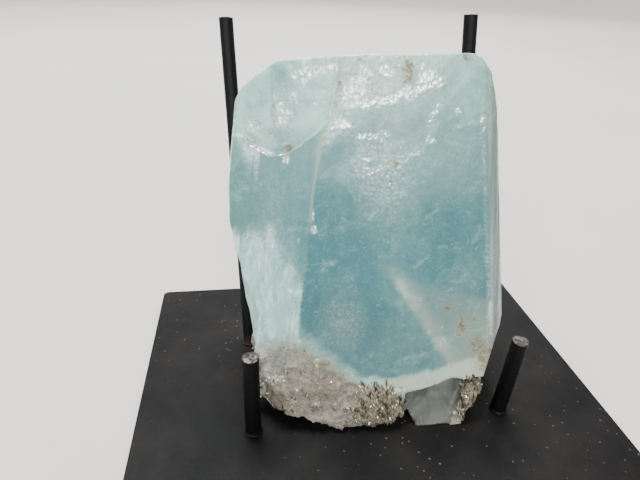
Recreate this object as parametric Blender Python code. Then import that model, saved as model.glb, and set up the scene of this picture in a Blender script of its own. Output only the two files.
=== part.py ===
"""Aquamarine crystal on its display stand.

A black steel base plate carries four rods. The crystal stands on the plate, leans back against the two
long rods and is kept from sliding forward by the two short ones. Everything is in metres, with +Z up,
+X to the right and -Y to the front. The origin is the centre of the plate's underside.
"""

import math
import random

import bmesh
import bpy
from mathutils import Matrix, Vector, noise

MM = 0.001

# Base plate
PLATE_WIDTH = 203.2 * MM
PLATE_DEPTH = 152.4 * MM
PLATE_THICKNESS = 3.2 * MM
PLATE_CORNER_RADIUS = 3.0 * MM
PLATE_EDGE_BEVEL = 0.4 * MM
CORNER_STEPS = 6

# Rods
ROD_RADIUS = 3.28 * MM
ROD_SIDES = 20
ROD_MARGIN = 48.2 * MM  # from the plate's edges to the middle of each rod's foot
SHORT_ROD = 40.0 * MM
LONG_ROD = 156.0 * MM
SHEAR_ANGLE = math.radians(9)  # the two slopes that a bolt cutter leaves on a rod's end
WELD_RADIUS = 4.3 * MM
WELD_HEIGHT = 1.3 * MM
GAP = 0.3 * MM

# Each rod: side of the plate in X and Y, length, lean to the right, lean to the back, turn of its sheared end
RODS = {
    "post_front_left": (-1, -1, SHORT_ROD, -0.1, -0.5, 28),
    "post_front_right": (1, -1, SHORT_ROD, 0.2, -2.5, -15),
    "post_back_left": (-1, 1, LONG_ROD, -2.2, 21.3, 10),
    "post_back_right": (1, 1, LONG_ROD, -0.1, 15.0, -8),
}

# Crystal. Its own axes are u to the right, w into its depth and v up along its length, from the foot of its
# front face. It leans back by LEAN and turns by TURN about the upright.
LEAN = 19.0
TURN = -3.0
CRYSTAL_FOOT = (0.0, -32.0 * MM, PLATE_THICKNESS)
CRYSTAL_HEIGHT = 149.0
CRYSTAL_DEPTH = 66.0
FRONT_LEFT_RIDGE = -31.2
FRONT_RIGHT_RIDGE = 41.0
BODY_LIFT = 4.0 * MM  # the body ends this far above the plate, and lumps of the foot reach down to it

# Faces of the body: a point (u, w, v) in mm, the way the face looks round the axis (0 is the front,
# positive to the right) and its tilt upwards, both in degrees.
FACES = {
    "front": ((0, 0, 0), 0, 0),
    "right bevel, front": ((FRONT_RIGHT_RIDGE, 0, 85), 25, 1.9),
    "right bevel, side": ((45.5, 2.1, 85), 47, 3.3),
    "right": ((49.2, 6.0, 75), 70, 4.8),
    "right flank": ((54.2, 20.0, 75), 93, 3),
    "right, low": ((50.8, 6.0, 41), 66, -13),
    "right, foot": ((46.5, 6.0, 16), 60, -38),
    "back right": ((54.0, 37.6, 80), 130, 0),
    "back": ((0, CRYSTAL_DEPTH, 80), 180, 0),
    "back left": ((-62.5, 41.8, 80), -133, 0.5),
    "left": ((-62.6, 20.0, 95), -88, 0),
    "left, high": ((-62.2, 20.0, 104), -85, 6),
    "left, low": ((-61.4, 13.0, 79), -78, -10.5),
    "left, foot": ((-50.8, 13.0, 20), -78, -34),
    "front left": ((FRONT_LEFT_RIDGE, 0, 90), -28, 2.2),
    "top": ((0, 0, CRYSTAL_HEIGHT), -90, 87.9),
    "top right, flat": ((29.0, 3.0, 150.6), 68, 72),
    "top right, round": ((36.0, 3.0, 148.0), 68, 38),
    "top right, steep": ((40.2, 3.0, 142.0), 68, 13),
    "top left, flat": ((-36.0, 12.0, 149.6), -75, 70),
    "top left, round": ((-50.5, 12.0, 143.6), -75, 54),
    "top left, steep": ((-57.2, 12.0, 137.0), -75, 20),
    "top back, worn": ((0, CRYSTAL_DEPTH - 6, CRYSTAL_HEIGHT), 172, 55),
}

# The piece that broke off the upper left: its lower edge on the front, then its two floors, as (u, v) and
# (u, w), all in mm.
CHIP_EDGE = ((-19.6, 160), (-20.0, 148), (-21.6, 136), (-24.6, 124), (-28.5, 120.5), (-33.5, 119),
             (-39.7, 114.2), (-45.6, 113.2), (-51, 116), (-56.5, 119.5), (-67, 121), (-67, 160))
CHIP_FLOOR = ((-19.0, -0.4), (-45.0, 10.2), (-67.0, 24.6))

# The hollow under the rim at the lower right, as (u, v) in mm, and the depth of its floor at v = 0 and its slope
HOLLOW_EDGE = ((9.2, -12), (9.2, 7), (7.6, 14.2), (16, 15.8), (24.4, 18.1), (29, 20.6), (34, 19.6),
               (41.5, 20.6), (62, 23), (62, -12))
HOLLOW_DEPTH = 2.2
HOLLOW_SLOPE = 0.30

# The quartz block that fills most of that hollow, as (u, v) in mm, and the depth of its front at v = 0
QUARTZ_EDGE = ((10.6, 6.4), (9.6, 14.6), (24, 19), (37.2, 21.5), (36.6, 5.5), (30.5, -6), (17.6, -6))
QUARTZ_FRONT = -0.9
QUARTZ_BACK = 32.0

# Large lumps of the matrix that the crystal grew on: centre (u, w, v), radii, all in mm
LUMPS = (
    ((-36, 13, 17), (15, 12.5, 15)),
    ((-20, 12, 13), (14, 11.4, 14)),
    ((-5, 11, 10), (12, 10.4, 11)),
    ((-42, 27, 21), (9.5, 13, 14)),
    ((-38, 45, 28), (14, 13, 13)),
    ((-10, 55, 29), (17, 11, 11)),
    ((20, 53, 28), (16, 12, 11)),
    ((38, 30, 20), (11, 15, 12)),
)
LUMP_ROUGHNESS = 0.34

# Small knobs that cover the matrix's front: its upper limit as (u, v) from right to left, and the knobs' size
MATRIX_TOP = ((4, 17), (-9.5, 20.6), (-20, 27), (-28, 34), (-34, 37.5), (-52, 38))
KNOB_SPACING = 6.9
KNOB_RADII = (5.6, 4.2, 5.3)
KNOB_SINK = 2.3

# Books of mica: the first and last one's centre (u, w, v), how many, half sizes, lean in degrees, all in mm
MICA_BOOKS = (
    ((-9.0, 2.6, 10.5), (6.6, 2.2, 10.5), 6, (1.5, 3.8, 6.6), 7),
    ((33.6, 3.4, 6.5), (39.0, 4.4, 14.0), 3, (1.8, 4.0, 5.6), 24),
)

# Rows of small chips along the body's edges: start and end (u, w, v) in mm, number, radius and how far in
CHIP_ROWS = (
    ((-16, 0, 149), (28, 0, 150), 5, 7.0, 0.7),
    ((-31, 0, 112), (-34, 0, 48), 3, 8.0, 0.5),
    ((53, 37, 125), (54.5, 37, 50), 4, 8.0, 0.9),
    ((24, 65, 132), (25, 65, 50), 3, 9.0, 0.9),
    ((-38, 65, 130), (-38, 65, 55), 3, 9.0, 0.9),
)

# Wide shallow bites out of the surface: the point (u, w, v) at the bottom of the bite, the way it looks round
# the axis, its tilt, and the radius of the ball that makes it, in mm and degrees
BITES = (
    ((-53.2, 13, 51), -66, -8, 46),
    ((4, 64.2, 40), 176, -14, 60),
    ((51.8, 26, 96), 96, 6, 46),
    ((-22, 40, 147.2), -60, 86, 60),
    ((26, 50, 147.8), 120, 80, 40),
)

# Growth lines along the body: the face's point and look as in FACES, then their offsets across it in mm
GROOVES = (
    ("right bevel, side", (-1.6, 1.4)),
    ("right", (3.0, 6.5, 8.4, 12.6)),
    ("back right", (-24.0, -19.5, -12.0, -9.4)),
    ("back", (-21.0, -13.5, -10.8, 6.0, 9.5, 14.6)),
    ("back left", (8.0, 11.2, 19.0)),
    ("left", (-7.0, -3.6, 2.4)),
)
GROOVE_WIDTH = 1.5
GROOVE_DEPTH = 0.45


def clear_scene():
    for obj in list(bpy.data.objects):
        bpy.data.objects.remove(obj, do_unlink=True)


def principled(name, color, roughness, metallic=0.0, transmission=0.0, ior=1.5):
    material = bpy.data.materials.new(name)
    material.use_nodes = True
    shader = material.node_tree.nodes["Principled BSDF"]
    shader.inputs["Base Color"].default_value = (*color, 1.0)
    shader.inputs["Roughness"].default_value = roughness
    shader.inputs["Metallic"].default_value = metallic
    shader.inputs["Transmission Weight"].default_value = transmission
    shader.inputs["IOR"].default_value = ior
    return material


def add_object(name, bm, material=None, parent=None, cutter=False):
    """A new object from this mesh. A cutter or a guide is left out of a render."""
    mesh = bpy.data.meshes.new(name)
    bm.to_mesh(mesh)
    bm.free()
    obj = bpy.data.objects.new(name, mesh)
    bpy.context.scene.collection.objects.link(obj)
    obj.parent = parent
    if material:
        mesh.materials.append(material)
    if cutter:
        obj.hide_render = True
        obj.display_type = "WIRE"
    return obj


def boolean(obj, other, operation, use_self=False):
    modifier = obj.modifiers.new(other.name, "BOOLEAN")
    modifier.operation = operation
    modifier.object = other
    modifier.solver = "EXACT"
    modifier.use_self = use_self


def slice_off(bm, point, normal):
    """Takes away what lies beyond a plane and closes the cut."""
    geometry = bm.verts[:] + bm.edges[:] + bm.faces[:]
    cut = bmesh.ops.bisect_plane(
        bm, geom=geometry, plane_co=point, plane_no=normal, clear_outer=True
    )
    edges = [item for item in cut["geom_cut"] if isinstance(item, bmesh.types.BMEdge)]
    bmesh.ops.holes_fill(bm, edges=edges)


def outward(look, tilt):
    """The normal of a face that looks this way round the axis and tilts up by this much, in degrees."""
    look, tilt = math.radians(look), math.radians(tilt)
    across = math.cos(tilt)
    return Vector((math.sin(look) * across, -math.cos(look) * across, math.sin(tilt)))


def extrude_outline(outline, near, far):
    """A closed block over a (u, v) outline in mm, from depth near(u, v) to depth far(u, v)."""
    bm = bmesh.new()
    front = [bm.verts.new(Vector((u, near(u, v), v)) * MM) for u, v in outline]
    back = [bm.verts.new(Vector((u, far(u, v), v)) * MM) for u, v in outline]
    bm.faces.new(front)
    bm.faces.new(back[::-1])
    count = len(outline)
    for i in range(count):
        j = (i + 1) % count
        bm.faces.new((front[j], front[i], back[i], back[j]))
    bmesh.ops.triangulate(bm, faces=bm.faces[:])
    bmesh.ops.recalc_face_normals(bm, faces=bm.faces[:])
    return bm


# Stand


def make_base_plate(material):
    bm = bmesh.new()
    half_x = PLATE_WIDTH / 2 - PLATE_CORNER_RADIUS
    half_y = PLATE_DEPTH / 2 - PLATE_CORNER_RADIUS
    ring = []
    for quarter, (side_x, side_y) in enumerate(((1, 1), (-1, 1), (-1, -1), (1, -1))):
        for step in range(CORNER_STEPS + 1):
            angle = math.pi / 2 * (quarter + step / CORNER_STEPS)
            x = side_x * half_x + PLATE_CORNER_RADIUS * math.cos(angle)
            y = side_y * half_y + PLATE_CORNER_RADIUS * math.sin(angle)
            ring.append(bm.verts.new((x, y, 0)))
    bottom = bm.faces.new(ring)
    raised = bmesh.ops.extrude_face_region(bm, geom=[bottom])
    top = [item for item in raised["geom"] if isinstance(item, bmesh.types.BMVert)]
    bmesh.ops.translate(bm, verts=top, vec=(0, 0, PLATE_THICKNESS))
    bmesh.ops.recalc_face_normals(bm, faces=bm.faces[:])
    plate = add_object("base_plate", bm, material)
    bevel = plate.modifiers.new("edge", "BEVEL")
    bevel.width = PLATE_EDGE_BEVEL
    bevel.segments = 2
    bevel.limit_method = "ANGLE"
    bevel.angle_limit = math.radians(60)
    return plate


def rod_frame(lean_x, lean_y):
    """The rod's own axes in the world, with its length along the last one."""
    length = Vector((math.tan(math.radians(lean_x)), math.tan(math.radians(lean_y)), 1)).normalized()
    return length.to_track_quat("Z", "Y").to_matrix()


def make_rod(name, side_x, side_y, length, lean_x, lean_y, shear_turn, material):
    foot = Vector((side_x * (PLATE_WIDTH / 2 - ROD_MARGIN), side_y * (PLATE_DEPTH / 2 - ROD_MARGIN), 0))
    foot.z = PLATE_THICKNESS + GAP
    turn = rod_frame(lean_x, lean_y)
    up = turn.transposed() @ Vector((0, 0, 1))

    bm = bmesh.new()
    spare = 3 * ROD_RADIUS
    shift = Matrix.Translation((0, 0, length / 2))
    bmesh.ops.create_cone(bm, cap_ends=True, segments=ROD_SIDES, radius1=ROD_RADIUS, radius2=ROD_RADIUS,
                          depth=length + 2 * spare, matrix=shift)
    slice_off(bm, (0, 0, 0), -up)
    across = Matrix.Rotation(math.radians(shear_turn), 3, "Z") @ Vector((0, 1, 0))
    for side in (1, -1):
        slope = math.cos(SHEAR_ANGLE) * Vector((0, 0, 1)) + side * math.sin(SHEAR_ANGLE) * across
        slice_off(bm, (0, 0, length), slope)
    rod = add_object(name, bm, material)
    rod.location = foot
    rod.rotation_euler = turn.to_euler()

    collar = bmesh.new()
    bmesh.ops.create_cone(collar, cap_ends=True, segments=ROD_SIDES, radius1=WELD_RADIUS,
                          radius2=ROD_RADIUS * 0.8, depth=WELD_HEIGHT,
                          matrix=Matrix.Translation((0, 0, WELD_HEIGHT / 2)))
    for vert in collar.verts:
        wobble = noise.noise(Vector((vert.co.x, vert.co.y, side_x + 2 * side_y)) / (2.5 * MM))
        vert.co.xy *= 1 + 0.08 * wobble
    weld = add_object("weld_" + name, collar, cutter=True)
    weld.location = foot
    boolean(rod, weld, "UNION")
    rod.data.shade_smooth()
    rod.data.set_sharp_from_angle(angle=math.radians(35))
    return rod


# Crystal


def crystal_axes():
    empty = bpy.data.objects.new("crystal_axes", None)
    bpy.context.scene.collection.objects.link(empty)
    empty.location = CRYSTAL_FOOT
    turn = Matrix.Rotation(math.radians(TURN), 3, "Z") @ Matrix.Rotation(math.radians(-LEAN), 3, "X")
    empty.rotation_euler = turn.to_euler()
    return empty, turn


def floor_in_crystal(turn, height):
    """A point and the downward normal of the level plane this far above the plate, in the crystal's axes."""
    down = turn.transposed() @ Vector((0, 0, -1))
    return -down * height, down


def make_plate_clearance():
    """The level block that trims everything grown on just above the plate."""
    bm = bmesh.new()
    size = 300 * MM
    middle = Matrix.Translation((0, 0, PLATE_THICKNESS + GAP - size / 2))
    bmesh.ops.create_cube(bm, size=size, matrix=middle)
    return add_object("plate_clearance", bm, cutter=True)


def make_body(turn, material, parent):
    bm = bmesh.new()
    bmesh.ops.create_cube(bm, size=400 * MM)
    for point, look, tilt in FACES.values():
        slice_off(bm, Vector(point) * MM, outward(look, tilt))
    slice_off(bm, *floor_in_crystal(turn, BODY_LIFT))
    bmesh.ops.triangulate(bm, faces=bm.faces[:])
    bmesh.ops.recalc_face_normals(bm, faces=bm.faces[:])
    return add_object("aquamarine_crystal", bm, material, parent)


def between(points, at):
    """The second coordinate at this first one, on a line through the points, which run down in the first."""
    for (u1, w1), (u2, w2) in zip(points, points[1:]):
        if at >= u2:
            break
    return w1 + (w2 - w1) * (at - u1) / (u2 - u1)


def make_chip_cutter(parent):
    """The block that takes the chip off: its floor falls away to the left in two planes."""
    bm = extrude_outline(CHIP_EDGE, lambda u, v: -12, lambda u, v: between(CHIP_FLOOR, u))
    ridge = Vector((CHIP_FLOOR[1][0], 0, 0)) * MM
    bmesh.ops.bisect_plane(bm, geom=bm.verts[:] + bm.edges[:] + bm.faces[:], plane_co=ridge,
                           plane_no=(1, 0, 0))
    for vert in bm.verts:
        if vert.co.y > -11 * MM and abs(vert.co.x - ridge.x) < 0.01 * MM:
            vert.co.y = CHIP_FLOOR[1][1] * MM
    bmesh.ops.recalc_face_normals(bm, faces=bm.faces[:])
    return add_object("chip_cutter", bm, parent=parent, cutter=True)


def make_hollow_cutter(parent):
    bm = extrude_outline(HOLLOW_EDGE, lambda u, v: -12, lambda u, v: HOLLOW_DEPTH + HOLLOW_SLOPE * max(v, 0))
    return add_object("hollow_cutter", bm, parent=parent, cutter=True)


def make_quartz_block(parent):
    """The quartz stands upright under the rim, so in the leaning crystal's axes its front slopes inwards."""
    bm = extrude_outline(QUARTZ_EDGE, lambda u, v: QUARTZ_FRONT + HOLLOW_SLOPE * v, lambda u, v: QUARTZ_BACK)
    return add_object("quartz_block", bm, parent=parent, cutter=True)


def add_ball(bm, centre, radii, subdivisions, roughness, seed):
    """A ball pulled to these radii and made uneven."""
    made = bmesh.ops.create_icosphere(bm, subdivisions=subdivisions, radius=1)
    for vert in made["verts"]:
        bumps = noise.fractal(vert.co * 1.6 + Vector((7.3 * seed, 0, 0)), 1.0, 2.0, 3)
        vert.co *= 1 + roughness * bumps
        vert.co = Vector([c + r * x for c, r, x in zip(centre, radii, vert.co)]) * MM


def finish_lump(name, bm, parent):
    bmesh.ops.recalc_face_normals(bm, faces=bm.faces[:])
    return add_object(name, bm, parent=parent, cutter=True)


def make_lumps(parent):
    lumps = []
    for index, (centre, radii) in enumerate(LUMPS):
        bm = bmesh.new()
        add_ball(bm, centre, radii, 3, LUMP_ROUGHNESS, index)
        lumps.append(finish_lump(f"lump_{index}", bm, parent))
    return lumps


def front_depth(u):
    """How deep the body's front lies at this u: nothing on the front face, more beyond its left ridge."""
    return max(0.0, (FRONT_LEFT_RIDGE - u) * math.tan(math.radians(28)))


def make_knobs(parent):
    """Uneven rows of small knobs from the plate up to the matrix's upper limit."""
    rng = random.Random(5)
    knobs = []
    columns = int((MATRIX_TOP[0][0] - MATRIX_TOP[-1][0]) / KNOB_SPACING)
    for column in range(columns):
        u = MATRIX_TOP[0][0] - KNOB_SPACING * (column + 0.5)
        top = between(MATRIX_TOP, u) - KNOB_RADII[2]
        rows = max(1, round(top / KNOB_SPACING))
        for row in range(rows):
            v = top * (row + 0.6) / rows
            centre = (u + rng.uniform(-1.6, 1.6), front_depth(u) + KNOB_SINK + rng.uniform(-0.5, 1.0), v)
            radii = [radius * rng.uniform(0.85, 1.25) for radius in KNOB_RADII]
            bm = bmesh.new()
            add_ball(bm, centre, radii, 2, LUMP_ROUGHNESS, 20 + len(knobs))
            knobs.append(finish_lump(f"knob_{len(knobs)}", bm, parent))
    return knobs


def make_mica_books(parent):
    rng = random.Random(8)
    books = []
    for first, last, count, half, lean in MICA_BOOKS:
        for i in range(count):
            centre = Vector(first).lerp(Vector(last), i / (count - 1))
            centre.z += rng.uniform(-1.2, 1.2)
            tilt = Matrix.Rotation(math.radians(lean + rng.uniform(-6, 6)), 4, "Y")
            yaw = Matrix.Rotation(math.radians(rng.uniform(-18, 18)), 4, "Z")
            size = Matrix.Diagonal([2 * h * rng.uniform(0.85, 1.15) for h in half] + [1])
            place = Matrix.Scale(MM, 4) @ Matrix.Translation(centre) @ yaw @ tilt @ size
            bm = bmesh.new()
            bmesh.ops.create_cube(bm, size=1, matrix=place)
            books.append(finish_lump(f"mica_book_{len(books)}", bm, parent))
    return books


def make_edge_chips(parent):
    """Shallow scallops along the edges, as one cutter of separate balls."""
    rng = random.Random(11)
    bm = bmesh.new()
    middle = Vector((0, CRYSTAL_DEPTH / 2, CRYSTAL_HEIGHT / 2))
    for start, end, count, radius, depth in CHIP_ROWS:
        start, end = Vector(start), Vector(end)
        for i in range(count):
            at = start.lerp(end, (i + rng.uniform(0.2, 0.8)) / count)
            out = at - middle
            out -= out.project(end - start)
            size = radius * rng.uniform(0.7, 1.25)
            centre = at + out.normalized() * (size - depth * rng.uniform(0.6, 1.5))
            turned = Matrix.Rotation(rng.uniform(0, 6), 4, "Z") @ Matrix.Rotation(rng.uniform(0, 6), 4, "X")
            place = Matrix.Translation(centre * MM) @ turned
            bmesh.ops.create_icosphere(bm, subdivisions=2, radius=size * MM, matrix=place)
    return add_object("edge_chips", bm, parent=parent, cutter=True)


def make_bites(parent):
    """Large balls that each leave one shell-shaped hollow."""
    bm = bmesh.new()
    for bottom, look, tilt, radius in BITES:
        centre = Vector(bottom) + radius * outward(look, tilt)
        bmesh.ops.create_icosphere(bm, subdivisions=4, radius=radius * MM,
                                   matrix=Matrix.Translation(centre * MM))
    return add_object("bites", bm, parent=parent, cutter=True)


def make_grooves(parent):
    """Growth lines: long three-sided cutters laid along the faces' own upright direction."""
    bm = bmesh.new()
    for face, offsets in GROOVES:
        point, look, tilt = FACES[face]
        out = outward(look, tilt)
        across = Vector((math.cos(math.radians(look)), math.sin(math.radians(look)), 0))
        along = out.cross(across).normalized()
        for offset in offsets:
            middle = Vector(point) + across * offset
            ends = []
            for reach in (-220, 220):
                base = middle + along * reach
                ends.append([
                    bm.verts.new((base - out * GROOVE_DEPTH) * MM),
                    bm.verts.new((base + across * GROOVE_WIDTH + out * GROOVE_DEPTH) * MM),
                    bm.verts.new((base - across * GROOVE_WIDTH + out * GROOVE_DEPTH) * MM),
                ])
            low, high = ends
            bm.faces.new(low)
            bm.faces.new(high[::-1])
            for i in range(3):
                j = (i + 1) % 3
                bm.faces.new((low[j], low[i], high[i], high[j]))
    bmesh.ops.recalc_face_normals(bm, faces=bm.faces[:])
    return add_object("growth_lines", bm, parent=parent, cutter=True)


def make_crystal(material):
    axes, turn = crystal_axes()
    crystal = make_body(turn, material, axes)
    boolean(crystal, make_grooves(axes), "DIFFERENCE", use_self=True)
    boolean(crystal, make_chip_cutter(axes), "DIFFERENCE")
    boolean(crystal, make_bites(axes), "DIFFERENCE", use_self=True)
    boolean(crystal, make_edge_chips(axes), "DIFFERENCE", use_self=True)
    boolean(crystal, make_hollow_cutter(axes), "DIFFERENCE")
    grown_on = [make_quartz_block(axes)]
    grown_on += make_lumps(axes) + make_knobs(axes) + make_mica_books(axes)
    for piece in grown_on:
        boolean(crystal, piece, "UNION")
    boolean(crystal, make_plate_clearance(), "DIFFERENCE")
    return crystal


def main():
    clear_scene()
    black = principled("black_paint", (0.018, 0.019, 0.021), 0.45)
    plate_black = principled("black_plate", (0.022, 0.023, 0.025), 0.55)
    beryl = principled("aquamarine", (0.50, 0.72, 0.74), 0.25, transmission=0.6, ior=1.58)
    make_base_plate(plate_black)
    for name, values in RODS.items():
        make_rod(name, *values, black)
    make_crystal(beryl)


main()
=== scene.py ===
"""The looks of an aquamarine crystal on its black steel stand.

Sizes ending in _MM are in millimetres, and so are places on the crystal. The crystal's own axes are u to the
right, w into its depth and v up along its length, from the foot of its front face. The frame is in metres.
"""

import math

import bmesh
import bpy
import numpy as np
from mathutils import Matrix, Vector, noise

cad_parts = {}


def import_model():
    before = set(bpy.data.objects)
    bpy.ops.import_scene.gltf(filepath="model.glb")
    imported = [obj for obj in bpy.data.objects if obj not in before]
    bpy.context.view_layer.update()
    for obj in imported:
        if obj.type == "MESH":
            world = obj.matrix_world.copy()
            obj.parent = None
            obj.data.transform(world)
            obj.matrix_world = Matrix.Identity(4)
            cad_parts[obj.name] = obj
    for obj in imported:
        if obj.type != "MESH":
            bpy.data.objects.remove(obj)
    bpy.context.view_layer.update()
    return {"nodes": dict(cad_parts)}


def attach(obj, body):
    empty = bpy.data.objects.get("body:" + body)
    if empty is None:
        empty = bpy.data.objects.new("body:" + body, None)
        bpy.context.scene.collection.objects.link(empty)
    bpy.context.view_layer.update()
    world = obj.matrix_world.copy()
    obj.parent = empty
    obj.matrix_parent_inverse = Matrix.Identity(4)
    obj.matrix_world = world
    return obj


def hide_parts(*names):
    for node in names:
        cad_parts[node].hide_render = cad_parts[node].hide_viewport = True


MM = 0.001

# Where the crystal stands and how it leans, as the solids have it
PLATE_TOP_MM = 3.2
CRYSTAL_FOOT_MM = (0.0, -32.0, PLATE_TOP_MM)
CRYSTAL_LEAN = math.radians(19)
CRYSTAL_TURN = math.radians(-3)
FRONT_LEFT_RIDGE_MM = -31.2
FRONT_LEFT_FACE_TURN = math.radians(28)

# Camera
CAMERA_PLACE_MM = (-52.6, -171.6, 171.6)
CAMERA_YAW = math.radians(9.33)
CAMERA_PITCH = math.radians(28.8)
CAMERA_ROLL = math.radians(2.34)
CAMERA_SENSOR_MM = 36.0
CAMERA_LENS_MM = 28.125

# Floor, in metres
FLOOR_REACH = 2.7
FLOOR_SWEEP = 0.9
WALL_TOP = 3.2

# Mesh fineness
CRYSTAL_VOXEL_MM = 0.88
ROD_VOXEL_MM = 0.34

# The rods' coated radius, and how strongly each one rusts at its foot
ROD_RADIUS_MM = 3.28
ROD_RUST = {"post_back_left": 1.0, "post_back_right": 0.35, "post_front_left": 0.25, "post_front_right": 0.2}

# How far in a point of the crystal may be pressed, and how deep the front's own marks and its matrix reach
DEEPEST_MM = 6.5
FRONT_DEPTH_MM = 34.0
MATRIX_SKIN_MM = 9.0

# How far from the front's lines everything behind the front counts as lying
OFF_FRONT_MM = 60.0

# The heights between which the ridge has a worn ledge beside it
LEDGE_LOW_MM = 52.0
LEDGE_TOP_MM = 149.0

# The quartz block in the hollow at the foot
QUARTZ_LEFT_MM = 9.0
QUARTZ_TOP_MM = 19.4
QUARTZ_DEPTH_MM = 9.0

# Lines on the crystal's front, as (u, v). The ridge between the main face and the left face bows to the right
# near its top, and the chip at the upper left ends at a curved edge.
RIDGE_LINE = ((-35.0, 0), (-35.0, 30), (-34.6, 50), (-33.5, 60), (-31.2, 72), (-30.8, 80), (-30.5, 91.5),
              (-29.4, 101), (-27.6, 110.3), (-25.1, 121.4), (-22.6, 128.6), (-20.5, 139.4), (-19.9, 149))
CHIP_LINE = ((-19.9, 156), (-19.9, 148), (-21.6, 136), (-24.6, 124), (-28.5, 120.5), (-33.5, 119),
             (-39.7, 114.1), (-45.6, 113), (-51, 116), (-56, 119.5), (-64, 121.5), (-70, 121.5))

# The pale band that runs down to the right, the lower end of the blue, the upper end of the fibrous white on
# the left face and the lower end of the etched top
PALE_BAND = ((-9, 86), (-6.1, 75.7), (-0.7, 69.6), (5.7, 59.3), (14.5, 46.6), (21.3, 35.7), (28.2, 26.8),
             (37.1, 21.6))
BLUE_FOOT = ((-60, 50), (-34.2, 42), (-26.8, 35.5), (-19.2, 29.5), (-13.8, 25), (-9.1, 21.8), (3, 21),
             (11.4, 22), (28.2, 25.6), (36.6, 28.7), (50, 34))
WHITE_TOP = ((-64, 79), (-52, 80), (-45.5, 82), (-43.8, 77), (-40, 72.5), (-36.5, 69), (-33, 62), (-28, 55))
FROST_LINE = ((-30, 113), (-22, 117.5), (-19.1, 122.2), (-16.9, 126.2), (-15.1, 129.5), (-12.9, 130.8),
              (-3.9, 131.5), (0.7, 132.2), (4.0, 134.2), (6.7, 136.5), (10.3, 138.6), (15.2, 142.5),
              (19.9, 146), (24, 152))

# The upper ends of the sandy crust and of the matrix at the foot
SAND_LIMIT = ((-58, 33), (-52, 35), (-44, 37.5), (-38, 39.5), (-34.2, 38.5), (-29.6, 34.4), (-24.5, 30),
              (-19.1, 26), (-13.7, 22), (-8.2, 19), (2, 17), (8, 15), (9, -20))
MATRIX_LIMIT = ((-58, 23), (-50, 24), (-42, 26), (-35, 29), (-27, 29.5), (-22, 27), (-18.7, 24.5),
                (-15.8, 21.5), (-9.5, 18.5), (2, 16.5), (8, 14), (9.6, 12), (10.4, -20))

# The broken outline: the left side's lower half, the upper left corner and the foot's front edge
LEFT_EDGE = ((-49.8, 2), (-50.2, 12), (-51.0, 21), (-52.2, 28.4), (-53.4, 36.5), (-54.1, 44.5), (-56.1, 52),
             (-57.1, 60), (-57.9, 68), (-60.2, 75), (-61.6, 83), (-64.0, 90))
LEFT_CORNER = ((-66, 118), (-62, 123.7), (-60.2, 129.7), (-59.5, 131.6), (-58.7, 135.3), (-57.8, 137.2),
               (-55.4, 139.3), (-52.6, 141.5), (-46, 146))
FOOT_EDGE = ((-60, 21), (-52, 17.5), (-50, 14.5), (-46.3, 10.9), (-42.8, 7.8), (-37.9, 7.0), (-33, 6.6),
             (-28.3, 4.6), (-24.1, 2.7), (-18.7, 1.0), (-2.7, 0.9), (4.5, 2.4), (8.6, 5.4), (9.6, 5.4),
             (12, 0))

# Breaks just under the face, painted bright as glints (a painted highlight): the (u, v) line that each
# follows, its half width and its strength
PAINTED_GLINTS = (
    (((-35.8, 141.9), (-30.9, 142.8), (-26.5, 143.5), (-21.5, 143.9)), 0.8, 1.3),
    (((-32.8, 138.7), (-31.6, 140.5), (-30.5, 142)), 0.9, 1.1),
    (((-41.8, 130.4), (-41.4, 126.2), (-40.7, 124.4)), 1, 1.2),
    (((-38.6, 128.6), (-38.1, 126.9)), 0.9, 1),
    (((-36.5, 134.4), (-36.3, 133.8)), 0.8, 0.9),
    (((-28.6, 131.4), (-27.5, 130.9)), 0.8, 0.7),
    (((-53.5, 123.5), (-50.6, 121)), 1.5, 0.8),
    (((-16, 134.6), (-13.7, 137.4), (-11.2, 138.4)), 1.7, 1.5),
    (((-17.2, 130.6), (-14.5, 133.1), (-9.3, 136.4)), 1.1, 1),
    (((-20.5, 123.6), (-19, 124), (-16.9, 122.9)), 1.1, 1.5),
    (((-14, 131), (-3.9, 131.9), (0.7, 132.6), (6.7, 137)), 1.2, 0.85),
    (((6, 133.5), (7.8, 135), (12, 137.6), (18.1, 139.8)), 1.5, 0.9),
    (((11, 140.8), (14, 142), (17.5, 138.5)), 1.4, 0.9),
    (((-3.2, 143.4), (-0.9, 142.2)), 1.3, 1.1),
    (((-11.9, 119), (-7.3, 118.6), (-2.3, 119.7)), 1.2, 0.5),
    (((-10.8, 105.6), (-7.7, 106), (-3.1, 107.5)), 1.5, 0.42),
    (((-12, 110), (-6, 111.5), (0, 111)), 1.3, 0.42),
    (((3.4, 109.8), (7.6, 111.8), (12.5, 114.4)), 1.1, 0.5),
    (((15.2, 125.3), (16.6, 127.9), (18.5, 130.5)), 0.7, 0.75),
    (((-29.2, 84.3), (-28.6, 83.2)), 0.75, 1.3),
    (((-29.4, 91), (-29.5, 87)), 0.45, 0.8),
    (((-45.6, 84), (-45.2, 76)), 1, 0.5),
    (((-40.5, 111), (-40.3, 110.5)), 1, 1.3),
    (((26, 128.7), (26, 128.3)), 0.7, 1.1),
    (((35.5, 125.9), (35.5, 125.5)), 0.7, 1.1),
    (((15.5, 117.9), (16.5, 117.5)), 0.8, 1),
    (((11.2, 145), (11.2, 144.6)), 0.7, 1.1),
    (((-3.9, 147.7), (-3.5, 147.3)), 0.8, 1),
    (((-11.2, 143.2), (-8, 142)), 0.8, 0.9),
    (((44.2, 52.3), (44.9, 45.9), (45.4, 39.4)), 0.8, 1.5),
    (((35.6, 134), (36.5, 118.5), (38.9, 95.3), (41, 71.2), (43, 54.5), (43.2, 33)), 0.7, 0.4),
    (((5.5, 62.5), (9, 57)), 1, 0.5),
)

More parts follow.
